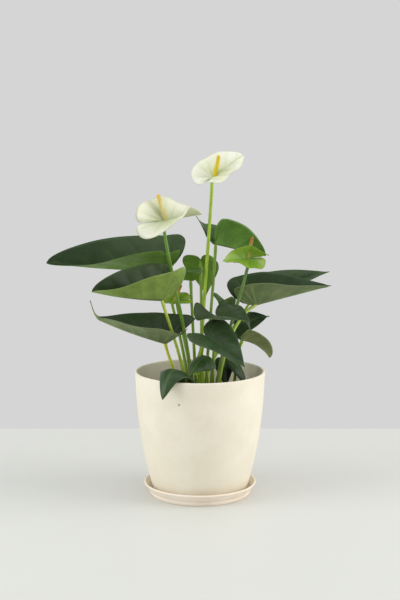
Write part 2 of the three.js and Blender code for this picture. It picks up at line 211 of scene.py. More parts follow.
def stalk_skin():
    """Smooth stalk: sheathed and darker at its foot, yellow-green above, streaked along its length."""
    material, tree, shader, place = surface("stalk_skin", 0.38, Specular_IOR_Level=0.45,
                                            Coat_Weight=0.1, Coat_Roughness=0.3)
    tone = wire(tree, "ShaderNodeAttribute", {"attribute_name": "tone"}).outputs["Color"]
    drawn = wire(tree, "ShaderNodeMapping", Vector=place, Scale=(1.0, 1.0, 0.06)).outputs[0]
    streaks = ramp(tree, noise(tree, drawn, 900, 3, 0.6), 0.3, 0.7, 0.84, 1.14)
    clouds = ramp(tree, noise(tree, place, 60, 3), 0.3, 0.7, 0.9, 1.12)
    light = maths(tree, "MULTIPLY", streaks, clouds)
    lit = wire(tree, "ShaderNodeVectorMath", {"operation": "SCALE"}, n0=tone, Scale=light).outputs[0]
    tree.links.new(lit, shader.inputs["Base Color"])
    tree.links.new(ramp(tree, noise(tree, place, 200, 3), 0.3, 0.7, 0.32, 0.46),
                   shader.inputs["Roughness"])
    relief(tree, shader, noise(tree, drawn, 1400, 3, 0.6), 0.15, 0.0002)
    return material


def floret_skin():
    """Matt beaded spadix in the tone of its height."""
    material, tree, shader, place = surface("floret_skin", 0.6, Subsurface_Weight=0.1,
                                            Subsurface_Scale=0.001)
    tone = wire(tree, "ShaderNodeAttribute", {"attribute_name": "tone"}).outputs["Color"]
    grain = ramp(tree, noise(tree, place, 700, 3), 0.3, 0.7, 0.86, 1.14)
    lit = wire(tree, "ShaderNodeVectorMath", {"operation": "SCALE"}, n0=tone, Scale=grain).outputs[0]
    tree.links.new(lit, shader.inputs["Base Color"])
    tree.links.new(ramp(tree, noise(tree, place, 300, 2), 0.3, 0.7, 0.5, 0.7),
                   shader.inputs["Roughness"])
    relief(tree, shader, noise(tree, place, 1800, 3), 0.3, 0.0002)
    return material


def mix_crumb(name, dark, pale):
    """Loose peat and bark, from near black to tan."""
    material, tree, shader, place = surface(name, 0.9, Specular_IOR_Level=0.25)
    shade = ramp(tree, noise(tree, place, 170, 5, 0.7), 0.32, 0.72)
    colour = mixed(tree, shade, dark, pale)
    light = ramp(tree, noise(tree, place, 38, 2), 0.58, 0.72, 0.0, 0.5)
    colour = mixed(tree, light, colour, srgb(134, 104, 74))
    tree.links.new(colour, shader.inputs["Base Color"])
    tree.links.new(ramp(tree, noise(tree, place, 400, 3), 0.3, 0.7, 0.8, 0.98),
                   shader.inputs["Roughness"])
    relief(tree, shader, noise(tree, place, 650, 6, 0.7), 0.6, 0.0006)
    return material


POT_SKIN = pot_plastic("pot_plastic", srgb(238, 231, 213), srgb(233, 225, 205),
                       spots=(((-0.0217, -0.0655, 0.1115), 0.0014), ((0.0290, -0.0560, 0.0840), 0.0008)))
SAUCER_SKIN = pot_plastic("saucer_plastic", srgb(244, 233, 217), srgb(238, 224, 206))
LEAF_SKIN = leaf_skin()
SPATHE_SKIN = spathe_skin()
STALK_SKIN = stalk_skin()
FLORET_SKIN = floret_skin()
MIX_SKIN = mix_crumb("potting_mix_bed", srgb(38, 29, 22), srgb(82, 63, 46))
CRUMB_SKIN = mix_crumb("potting_mix_crumbs", srgb(46, 35, 26), srgb(104, 80, 58))


# ---------------------------------------------------------------- mesh helpers
def solid(name, points, faces, material):
    """A mesh object from points in millimetres, smooth shaded."""
    mesh = bpy.data.meshes.new(name)
    mesh.from_pydata((np.asarray(points) * MM).tolist(), [], faces)
    mesh.materials.append(material)
    mesh.polygons.foreach_set("use_smooth", [True] * len(mesh.polygons))
    mesh.validate()
    piece = bpy.data.objects.new(name, mesh)
    bpy.context.scene.collection.objects.link(piece)
    return piece


def paint(piece, name, values):
    """Stores one number, or one colour, for each point of a piece."""
    values = np.asarray(values, float)
    if values.ndim == 1:
        layer = piece.data.attributes.new(name, "FLOAT", "POINT")
        layer.data.foreach_set("value", values)
    else:
        layer = piece.data.attributes.new(name, "FLOAT_COLOR", "POINT")
        layer.data.foreach_set("color", np.c_[values, np.ones(len(values))].ravel())


def settle(piece, *nodes, slot):
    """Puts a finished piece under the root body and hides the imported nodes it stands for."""
    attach(piece, "root")
    if nodes:
        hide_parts(*nodes)


def evaluated(piece):
    """The piece with its modifiers made into plain mesh, and the modifiers gone."""
    view = bpy.context.evaluated_depsgraph_get()
    mesh = bpy.data.meshes.new_from_object(piece.evaluated_get(view))
    done = bpy.data.objects.new(piece.name, mesh)
    old = piece.data
    bpy.data.objects.remove(piece)
    done.name = done.name.split(".")[0]
    bpy.context.scene.collection.objects.link(done)
    bpy.data.meshes.remove(old)
    return done


# ---------------------------------------------------------------- geometry node trees
def new_tree(name, inputs):
    """An empty tree with named inputs. Returns it, its inputs' sockets and its output node."""
    tree = bpy.data.node_groups.new(name, "GeometryNodeTree")
    tree.interface.new_socket("Geometry", in_out="INPUT", socket_type="NodeSocketGeometry")
    for label, kind in inputs:
        tree.interface.new_socket(label, in_out="INPUT", socket_type=f"NodeSocket{kind}")
    tree.interface.new_socket("Geometry", in_out="OUTPUT", socket_type="NodeSocketGeometry")
    return tree, tree.nodes.new("NodeGroupInput").outputs, tree.nodes.new("NodeGroupOutput")


def apply_tree(piece, tree, **values):
    """Adds the tree to a piece, sets its inputs by identifier and returns the finished mesh piece."""
    modifier = piece.modifiers.new(tree.name, "NODES")
    modifier.node_group = tree
    for item in tree.interface.items_tree:
        if item.in_out == "INPUT" and item.name.replace(" ", "_") in values:
            modifier[item.identifier] = values[item.name.replace(" ", "_")]
    return evaluated(piece)


def stalk_tree():
    """A tapering tube along a path. Each path point's own radius is in its girth attribute."""
    tree, given, result = new_tree("stalk_along_path", [("Sides", "Int"), ("Skin", "Material")])
    girth = wire(tree, "GeometryNodeInputNamedAttribute", {"data_type": "FLOAT"}, Name="girth")
    ring = wire(tree, "GeometryNodeCurvePrimitiveCircle", {"mode": "RADIUS"},
                Resolution=given["Sides"], Radius=1.0)
    path = wire(tree, "GeometryNodeMeshToCurve", Mesh=given["Geometry"])
    tube = wire(tree, "GeometryNodeCurveToMesh", Curve=path.outputs[0],
                Profile_Curve=ring.outputs[0], Scale=girth.outputs[0], Fill_Caps=True)
    smooth = wire(tree, "GeometryNodeSetShadeSmooth", n0=tube.outputs[0])
    whole = wire(tree, "GeometryNodeRealizeInstances", n0=smooth.outputs[0])
    skinned = wire(tree, "GeometryNodeSetMaterial", n0=whole.outputs[0], Material=given["Skin"])
    tree.links.new(skinned.outputs[0], result.inputs[0])
    return tree


def scatter_tree():
    """Copies of one small shape spread over a surface, turned at random about its normal."""
    tree, given, result = new_tree("scatter_over_surface", [
        ("Shape", "Object"), ("Spacing", "Float"), ("Smallest", "Float"), ("Largest", "Float"),
        ("Tumble", "Float"), ("Keep surface", "Bool"), ("Seed", "Int"), ("Skin", "Material")])
    spread = wire(tree, "GeometryNodeDistributePointsOnFaces", {"distribute_method": "POISSON"},
                  Mesh=given["Geometry"], Seed=given["Seed"])
    tree.links.new(given["Spacing"], spread.inputs["Distance Min"])
    spread.inputs["Density Max"].default_value = 6e6
    shape = wire(tree, "GeometryNodeObjectInfo", Object=given["Shape"])
    size = wire(tree, "FunctionNodeRandomValue", {"data_type": "FLOAT"}, Seed=given["Seed"])
    tree.links.new(given["Smallest"], size.inputs[2])
    tree.links.new(given["Largest"], size.inputs[3])
    spin = wire(tree, "FunctionNodeRandomValue", {"data_type": "FLOAT_VECTOR"}, Seed=given["Seed"])
    half_turn = 3.14159
    spin.inputs[0].default_value = (-half_turn,) * 3
    spin.inputs[1].default_value = (half_turn,) * 3
    tumble = wire(tree, "ShaderNodeVectorMath", {"operation": "SCALE"}, n0=spin.outputs[0],
                  Scale=given["Tumble"])
    turn = wire(tree, "FunctionNodeRotateRotation", {"rotation_space": "LOCAL"},
                Rotation=spread.outputs["Rotation"])
    turned = wire(tree, "FunctionNodeEulerToRotation", n0=tumble.outputs[0])
    tree.links.new(turned.outputs[0], turn.inputs[1])
    copies = wire(tree, "GeometryNodeInstanceOnPoints", Points=spread.outputs["Points"],
                  Instance=shape.outputs["Geometry"], Rotation=turn.outputs[0],
                  Scale=size.outputs[1])
    joined = tree.nodes.new("GeometryNodeJoinGeometry")
    switch = tree.nodes.new("GeometryNodeSwitch")
    switch.input_type = "GEOMETRY"
    tree.links.new(given["Keep surface"], switch.inputs[0])
    tree.links.new(given["Geometry"], switch.inputs[2])
    tree.links.new(switch.outputs[0], joined.inputs[0])
    tree.links.new(copies.outputs[0], joined.inputs[0])
    whole = wire(tree, "GeometryNodeRealizeInstances", n0=joined.outputs[0])
    skinned = wire(tree, "GeometryNodeSetMaterial", n0=whole.outputs[0], Material=given["Skin"])
    tree.links.new(skinned.outputs[0], result.inputs[0])
    return tree


STALK_TREE = stalk_tree()
SCATTER_TREE = scatter_tree()


def small_shape(name, subdivisions, squash, roughen, seed):
    """A lumpy pebble of one millimetre radius for scattering."""
    random = np.random.default_rng(seed)
    bpy.ops.mesh.primitive_ico_sphere_add(subdivisions=subdivisions, radius=1.0)
    pebble = bpy.context.object
    pebble.name = name
    for vertex in pebble.data.vertices:
        vertex.co *= 1 + roughen * random.uniform(-1, 1)
        vertex.co.z *= squash
        vertex.co *= MM
    pebble.data.polygons.foreach_set("use_smooth", [roughen < 0.1] * len(pebble.data.polygons))
    return pebble


# ---------------------------------------------------------------- turned pieces
def turned(name, profile, material, around=AROUND):
    """A closed piece of revolution from [radius, height] points, up the outside and down the inside."""
    points, faces, rings = [], [], []
    for radius, height in profile:
        if radius < 1e-6:
            rings.append([len(points)])
            points.append((0.0, 0.0, height))
            continue
        ring = []
        for step in range(around):
            angle = 2 * math.pi * step / around
            ring.append(len(points))
            points.append((radius * math.cos(angle), radius * math.sin(angle), height))
        rings.append(ring)
    for low, high in zip(rings, rings[1:]):
        for step in range(around):
            ahead = (step + 1) % around
            if len(low) == 1:
                faces.append((low[0], high[ahead], high[step]))
            elif len(high) == 1:
                faces.append((low[step], low[ahead], high[0]))
            else:
                faces.append((low[step], low[ahead], high[ahead], high[step]))
    return solid(name, points, faces, material)


def arc(centre, radius, start, end, steps=5):
    """Points on a small round between two directions, in degrees, to soften a corner."""
    angles = np.radians(np.linspace(start, end, steps))
    return [(centre[0] + radius * math.cos(a), centre[1] + radius * math.sin(a)) for a in angles]


def side_radius(height):
    """The pot's outer radius: one shallow curve drawn in towards the foot."""
    controls = np.array([[POT_FOOT, POT_BASE],
                         [RIM_RADIUS * 0.92 + POT_FOOT * 0.08,
                          POT_BASE + (RIM_HEIGHT - POT_BASE) * 0.42],
                         [RIM_RADIUS, RIM_HEIGHT]])
    t = np.linspace(0, 1, 200)[:, None]
    curve = (1 - t) ** 2 * controls[0] + 2 * t * (1 - t) * controls[1] + t ** 2 * controls[2]
    return float(np.interp(height, curve[:, 1], curve[:, 0]))


def make_pot():
    """The tapered pot on its foot ring, with a rounded lip."""
    foot_lift, floor = 3.0, 2.6
    inner_floor = POT_BASE + foot_lift + floor
    lip = POT_WALL / 2
    heights = np.linspace(POT_BASE + 2.6, RIM_HEIGHT - 2.2, 34)
    profile = [(0, POT_BASE + foot_lift), (44.6, POT_BASE + foot_lift)]
    profile += arc((45.6, POT_BASE + 0.7), 0.7, 180, 270)
    profile += arc((POT_FOOT - 1.4, POT_BASE + 1.4), 1.4, 270, 350)
    profile += [(side_radius(h), h) for h in heights]
    profile += arc((RIM_RADIUS - lip, RIM_HEIGHT - lip), lip, 0, 180, 11)
    profile += [(side_radius(h) - POT_WALL, h) for h in heights[::-1] if h > inner_floor + 4]
    profile += arc((side_radius(inner_floor) - POT_WALL - 3.4, inner_floor + 3.4), 3.4, 0, -90)
    profile += [(30, inner_floor), (0, inner_floor)]
    pot = turned("pot_shell", profile, POT_SKIN)
    settle(pot, "pot", slot="pot_plastic")


def make_saucer():
    """The shallow saucer, stepped under its flared lip."""
    lip_radius = float(saucer_high[0])
    lip_height = float(saucer_high[2])
    base = 3.0
    profile = [(0, 0), (52.6, 0)]
    profile += arc((53.4, 0.9), 0.9, 270, 350)
    profile += [(54.9, 2.4), (55.1, 3.5), (54.8, 4.1), (54.9, 4.6), (55.9, 5.2), (57.0, 6.4),
                (58.2, 8.2), (59.4, 10.2)]
    profile += arc((lip_radius - 1.1, lip_height - 1.1), 1.1, -20, 180, 9)
    profile += [(57.0, 10.2), (55.4, 7.6), (53.8, 5.4), (52.6, 4.2)]
    profile += [(51.0, 3.3), (48.0, base), (0, base)]
    saucer = turned("saucer_dish", profile, SAUCER_SKIN)
    settle(saucer, "saucer", slot="pot_plastic")


def make_mix():
    """The mix as one uneven bed, with loose crumbs on it."""
    low = MIX_BASE
    wall = POT_WALL + GAP + 0.4
    profile = [(0, low), (side_radius(low) - wall - 2.5, low)]
    profile += [(side_radius(h) - wall, h) for h in np.linspace(low + 6, SOIL_LEVEL - 2, 12)]
    shares = [1 - i / 26 for i in range(27)]
    edge = side_radius(SOIL_LEVEL) - wall
    top = [(edge * share, SOIL_LEVEL - 1.2 + 1.9 * (1 - share ** 2)) for share in shares]
    mix = turned("mix_bed", profile + top, MIX_SKIN, 96)
    random = np.random.default_rng(4)
    waves = random.uniform(-1, 1, (14, 3))
    for vertex in mix.data.vertices:
        x, y, z = (value / MM for value in vertex.co)
        if z > SOIL_LEVEL - 1.6:
            lift = sum(w[2] * math.sin(0.23 * (w[0] * x + w[1] * y) * 2 + 5 * w[0]) for w in waves)
            vertex.co.z += 0.16 * lift * MM
    settle(mix, "potting_mix", slot="potting_mix")
    crumb = small_shape("crumb_shape", 1, 0.6, 0.35, 7)
    skin = solid("mix_crumbs", *top_skin(edge - 1.5), CRUMB_SKIN)
    crumbs = apply_tree(skin, SCATTER_TREE, Shape=crumb, Spacing=2.3 * MM, Smallest=0.7,
                        Largest=2.1, Tumble=1.0, Keep_surface=False, Seed=3, Skin=CRUMB_SKIN)
    settle(crumbs, slot="potting_mix")
    bpy.data.objects.remove(crumb)


def top_skin(edge):
    """The mix's upper surface as a bare disc, for scattering crumbs on."""
    around, rings, sunk = 48, 8, 0.9
    points, faces = [(0, 0, MIX_TOP - sunk)], []
    for ring in range(1, rings + 1):
        for step in range(around):
            angle = 2 * math.pi * step / around
            radius = edge * ring / rings
            points.append((radius * math.cos(angle), radius * math.sin(angle),
                           SOIL_LEVEL - sunk + 1.6 * (1 - (ring / rings) ** 2)))
    for step in range(around):
        faces.append((0, 1 + step, 1 + (step + 1) % around))
    for ring in range(rings - 1):
        for step in range(around):
            a, b = 1 + ring * around + step, 1 + ring * around + (step + 1) % around
            faces.append((a, a + around, b + around, b))
    return points, faces


# ---------------------------------------------------------------- blades
# Half outlines from the notch round the lobe to the tip, one rib to a row:
# [margin along, margin across, where the rib leaves the midrib].
LEAF_OUTLINE = np.array([
    [-0.55, 0.10, -0.030], [-0.90, 0.30, -0.024], [-1.00, 0.60, -0.018], [-0.72, 0.88, -0.012],
    [-0.25, 1.00, -0.006], [0.12, 0.98, 0.03], [0.34, 0.84, 0.14], [0.56, 0.60, 0.32],
    [0.76, 0.33, 0.54], [0.92, 0.11, 0.80], [1.00, 0.00, 1.00]])
SPATHE_OUTLINE = np.array([
    [-0.45, 0.04, -0.040], [-0.94, 0.06, -0.030], [-1.10, 0.36, -0.020], [-0.80, 0.80, -0.010],
    [0.00, 1.02, 0.00], [0.24, 1.00, 0.04], [0.46, 0.88, 0.16], [0.66, 0.68, 0.34],
    [0.84, 0.42, 0.58], [0.96, 0.15, 0.84], [1.00, 0.00, 1.00]])
RIB_SWEEP = 1.15
TIP_START = 0.88
TIP_HALF_WIDTH = 0.5
FULL_FOLD = 4.0


def refined(outline, rows):
    """The outline's stations joined by a smooth curve through them."""
    last = len(outline) - 1
    out = []
    for place in np.linspace(0, last, rows):
        i = min(int(place), last - 1)
        w = place - i
        before, here = outline[max(i - 1, 0)], outline[i]
        ahead, beyond = outline[i + 1], outline[min(i + 2, last)]
        v0, v1 = (ahead - before) / 2, (beyond - here) / 2
        out.append((2 * here - 2 * ahead + v0 + v1) * w ** 3
                   + (3 * ahead - 3 * here - 2 * v0 - v1) * w ** 2 + v0 * w + here)
    return np.array(out)


def unit(vectors):
    """Vectors brought to length one."""
    return vectors / np.maximum(np.linalg.norm(vectors, axis=-1, keepdims=True), 1e-12)


def blade_sheet(blade, stations, reach_signed):
    """Points on the blade, the way its upper face looks, and how far along each lies."""
    base, tip = np.array(blade["base"], float), np.array(blade["tip"], float)
    width = blade["width"]
    fold, lobe = blade["fold"], blade["lobe"]
    tip_fold = blade.get("tipFold", fold)
    chord = tip - base
    length = np.linalg.norm(chord)
    along = chord / length
    level = unit(np.cross(along, [0, 0, 1.0]))
    facing = np.cross(level, along)
    margin_along, margin_across, rib_start = (stations[:, k][:, None] for k in range(3))
    side = np.sign(reach_signed)[None, :]
    reach = np.abs(reach_signed)[None, :]
    right = side > 0

    def of_side(pair):
        return np.where(right, pair[1], pair[0])

    lobe_length = of_side(lobe)
    end = np.where(margin_along < 0, margin_along * lobe_length, margin_along)
    across_share = np.maximum(margin_across, 0)
    spread = np.where(margin_along < 0, across_share,
                      np.maximum(across_share ** blade.get("taper", 1), 2 * TIP_HALF_WIDTH / width))
    spread = spread * (1 - of_side(blade.get("narrow", (0, 0)))
                       * np.clip((0.4 - margin_along) / 0.6, 0, 1))
    x = rib_start + (end - rib_start) * reach ** RIB_SWEEP
    y = width / 2 * spread * reach
    progress = np.clip((x + lobe_length) / (1 + lobe_length), 0, 1)
    arch = blade.get("arch", 0)
    lift = of_side(np.broadcast_to(blade.get("lift", 0), (2,)))
    rise = np.where(x >= 0, 4 * arch * x * (1 - x), 4 * arch * x + lift * (x / lobe_length) ** 2)
    slope = np.where(x >= 0, 4 * arch * (1 - 2 * x), 4 * arch)
    turn = np.radians(blade.get("roll", 0) + blade.get("twist", 0) * progress)[..., None]
    normal = facing * np.cos(turn) + level * np.sin(turn)
    across = level * np.cos(turn) - facing * np.sin(turn)
    forward = unit(along * length + normal * slope[..., None])
    outward = np.cross(across, forward)
    opened = np.minimum(1, width / 2 * spread / FULL_FOLD)
    angle = np.radians((of_side(fold) + (of_side(tip_fold) - of_side(fold)) * progress) * opened)
    curl = np.radians(of_side(blade.get("curl", (0, 0))))
    angle = angle + curl * (reach - 0.5) * spread
    hook = np.maximum(0, (x - TIP_START) / (1 - TIP_START))
    angle, y, rise, hook, x = (value[..., None] for value in (angle, y, rise, hook, x))
    side = side[..., None]
    points = (base + along * x * length + np.array([0, 0, 1.0]) * blade.get("tail", 0) * hook ** 2
              + normal * rise + across * side * y * np.cos(angle) + outward * y * np.sin(angle))
    face = outward * np.cos(angle) - across * side * np.sin(angle)
    return points, unit(face), progress


def blade_seat(blade, thickness):
    """Where the midrib starts, the way it faces, and where the stalk ends under it."""
    sheet, face, _ = blade_sheet(blade, np.array([[0.0, 0.0, 0.0]]), np.array([0.0]))
    return sheet[0, 0], face[0, 0], sheet[0, 0] - face[0, 0] * thickness * 0.3


def sheet_faces(rows, columns):
    """Faces that close an upper and a lower sheet of points, rows by columns, into one solid."""
    count = rows * columns
    index = np.arange(count).reshape(rows, columns).tolist()
    faces = []
    for r in range(rows - 1):
        for c in range(columns - 1):
            a, b, d, e = index[r][c], index[r][c + 1], index[r + 1][c + 1], index[r + 1][c]
            faces += [(a, b, d, e), (a + count, e + count, d + count, b + count)]
    for c in range(columns - 1):
        a, b, d, e = index[0][c], index[0][c + 1], index[-1][c], index[-1][c + 1]
        faces += [(a, a + count, b + count, b), (d, e, e + count, d + count)]
    for r in range(rows - 1):
        a, b, d, e = index[r][0], index[r + 1][0], index[r][-1], index[r + 1][-1]
        faces += [(a, b, b + count, a + count), (d, d + count, e + count, e)]
    return faces


def make_blade(name, blade, outline, look):
    """A thin closed blade with ribs, a swelling midrib, puffed panels and a waved margin."""
    rows, columns = look["rows"], look["columns"]
    first = int(np.argmax(outline[:, 1] >= blade.get("notch", 0)))
    stations = refined(outline[first:], rows)
    spacing = np.linspace(-1, 1, 2 * columns + 1)
    reach_signed = np.sign(spacing) * np.abs(spacing) ** 1.15
    points, face, progress = blade_sheet(blade, stations, reach_signed)
    reach = np.abs(reach_signed)[None, :]
    row = np.linspace(0, 1, rows)[:, None]
    half = blade["width"] / 2 * np.clip(stations[:, 1], 0.05, 1)[:, None]
    size = min(1.0, blade["width"] / 60)
    phase = row * look["ribs"] + 0.5 * (reach_signed[None, :] > 0)
    between = np.abs(np.sin(np.pi * phase))
    inside = np.clip(np.minimum(reach * 5, (1 - reach) * 4), 0, 1)
    puff = look["puff"] * size * (between ** 0.7 - 0.6) * inside
    bulge = look["bulge"] * np.sin(np.pi * reach) * np.minimum(1, half / 12)
    wave = look["wave"] * size * reach ** 3 * np.sin(2 * np.pi * (row * look["waves"] + look["seed"]
                                                   + 0.37 * (reach_signed[None, :] > 0)))
    wave = wave * np.sin(np.pi * np.clip(row * 1.05, 0, 1)) ** 0.5
    points = points + face * (puff + bulge + wave)[..., None]
    thick = look["thickness"] * (1 - 0.55 * reach ** 2) / 2
    off_rib = reach * half
    keel = look["keel"] * size * np.exp(-(off_rib / 1.1) ** 2) * (1.05 - row) \
        + 0.22 * size * np.exp(-((between / 0.22) ** 2)) * inside
    top = points + face * thick[..., None]
    bottom = points - face * (thick + keel)[..., None]
    count = rows * len(reach_signed)
    piece = solid(name, np.concatenate([top.reshape(-1, 3), bottom.reshape(-1, 3)]),
                  sheet_faces(rows, len(reach_signed)), look["skin"])
    rib_line = np.exp(-((between / look["rib_width"]) ** 2)) * np.clip(1.15 - reach, 0, 1) * inside
    mid_line = np.exp(-(off_rib / (0.75 + 0.5 * (1 - row))) ** 2)
    edge_line = 0.5 * np.clip((reach - 0.965) / 0.035, 0, 1) * np.ones_like(row)
    rib = np.maximum(np.maximum(rib_line * look["rib_tone"], mid_line), edge_line)
    paint(piece, "rib", np.concatenate([rib.ravel(), rib.ravel()]))
    paint(piece, "under", np.concatenate([np.zeros(count), np.ones(count)]))
    upper = look["tint"](reach, progress, False).reshape(-1, 3)
    lower = look["tint"](reach, progress, True).reshape(-1, 3)
    paint(piece, "tone", np.concatenate([upper, lower]))
    return piece


def blend_tones(first, second, share):
    """Two tones blended; share is how much of the second, held from 0 to 1."""
    share = np.clip(share, 0, 1)[..., None]
    return np.array(first) * (1 - share) + np.array(second) * share


def leaf_tint(upper, lower):
    """A leaf's tones: each side its own, with a little of the paler one near the stalk."""
    def tint(reach, progress, below):
        return blend_tones(lower if below else upper, lower,
                           (0.10 if below else 0.12) * (1 - progress) * np.ones_like(reach))
    return tint


def spathe_tint(margin, heart, underside):
    """A spathe's tones: green at its heart, running out to the margin's tone. The heart is partly the
    spathe's own green and partly painted shade; the bright margin is partly painted highlight.
    """
    def tint(reach, progress, below):
        return blend_tones(heart, underside if below else margin,
                           # painted highlight towards the margin and painted shade at the heart, over the
                           # spathe's own green-to-pale colour
                           0.25 + 1.1 * np.abs(progress - 0.38) + 0.5 * reach)
    return tint


# ---------------------------------------------------------------- stalks
def stem_path(foot, end, arrive=None, steps=28):
    """The stalk's line: upright at its foot, leaning over to its blade."""
    start = np.array([foot[0], foot[1], MIX_TOP + GAP - 1.2])
    rise = end[2] - MIX_TOP
    upright = np.array([foot[0], foot[1], MIX_TOP + GAP + rise * 0.3])
    if arrive:
        lean = end + np.array(arrive, float)
    else:
        lean = np.array([end[0] - (end[0] - foot[0]) * 0.3, end[1] - (end[1] - foot[1]) * 0.3,
                         end[2] - rise * 0.35])
    t = np.linspace(0, 1, steps)[:, None]
    return ((1 - t) ** 3 * start + 3 * t * (1 - t) ** 2 * upright + 3 * t ** 2 * (1 - t) * lean
            + t ** 3 * end)


def make_stalk(name, path, radius, foot_tone, top_tone, swelling):
    """A stalk with a thicker sheathed foot and, on a leaf, a swollen joint under the blade."""
    steps = len(path)
    t = np.linspace(0, 1, steps)
    joint = swelling * np.exp(-((t - 0.955) / 0.03) ** 2)
    girth = radius * (1.0 + 0.28 * np.exp(-t / 0.10) - 0.16 * t + joint)
    mesh = bpy.data.meshes.new(name)
    mesh.from_pydata((path * MM).tolist(), [(i, i + 1) for i in range(steps - 1)], [])
    piece = bpy.data.objects.new(name, mesh)
    bpy.context.scene.collection.objects.link(piece)
    paint(piece, "girth", girth * MM)
    paint(piece, "tone", blend_tones(foot_tone, top_tone, (t / 0.45) ** 0.8))
    return apply_tree(piece, STALK_TREE, Sides=14, Skin=STALK_SKIN)


# ---------------------------------------------------------------- spadices
def make_spadix(name, foot, tip, radius, tones, lump):
    """A rounded rod covered in florets."""
    foot, tip = np.array(foot, float), np.array(tip, float)
    axis = tip - foot
    length = np.linalg.norm(axis)
    axis /= length
    side = unit(np.cross(axis, [0.3, 0.9, 0.1]))
    other = np.cross(axis, side)
    rows, around = 30, 24
    points, faces = [foot], []
    for share in np.linspace(0, 1, rows):
        if share < 0.9:
            width = 0.86 + 0.14 * math.sin(math.pi * min(share * 1.5 + 0.15, 1)) - 0.2 * share
        else:
            width = 0.66 * math.sqrt(max(1 - ((share - 0.9) / 0.1) ** 2, 0.0))
        for step in range(around):
            angle = 2 * math.pi * step / around
            ring = side * math.cos(angle) + other * math.sin(angle)
            points.append(foot + axis * length * share + ring * max(radius * width, 0.02))
    points.append(tip)
    for step in range(around):
        ahead = (step + 1) % around
        faces.append((0, 1 + ahead, 1 + step))
        last = 1 + (rows - 1) * around
        faces.append((last + step, last + ahead, len(points) - 1))
        for row in range(rows - 1):
            a, b = 1 + row * around + step, 1 + row * around + ahead
            faces.append((a, b, b + around, a + around))
    rod = solid(name, points, faces, FLORET_SKIN)
    bead = small_shape("floret_shape", 1, 0.75, 0.0, 1)
    done = apply_tree(rod, SCATTER_TREE, Shape=bead, Spacing=lump * 1.55 * MM, Smallest=lump * 0.85,
                      Largest=lump * 1.05, Tumble=0.0, Keep_surface=True, Seed=5, Skin=FLORET_SKIN)
    bpy.data.objects.remove(bead)
    colour_by_height(done, foot, axis, length, tones)
    return done


def colour_by_height(piece, foot, axis, length, tones):
    """Paints a finished spadix, rod and florets alike, in the tone of each height."""
    flat = np.empty(len(piece.data.vertices) * 3)
    piece.data.vertices.foreach_get("co", flat)
    share = (flat.reshape(-1, 3) / MM - foot) @ axis / length
    tone = np.stack([np.interp(share, [t[0] for t in tones], [t[1][k] for t in tones])
                     for k in range(3)], -1)
    paint(piece, "tone", tone)


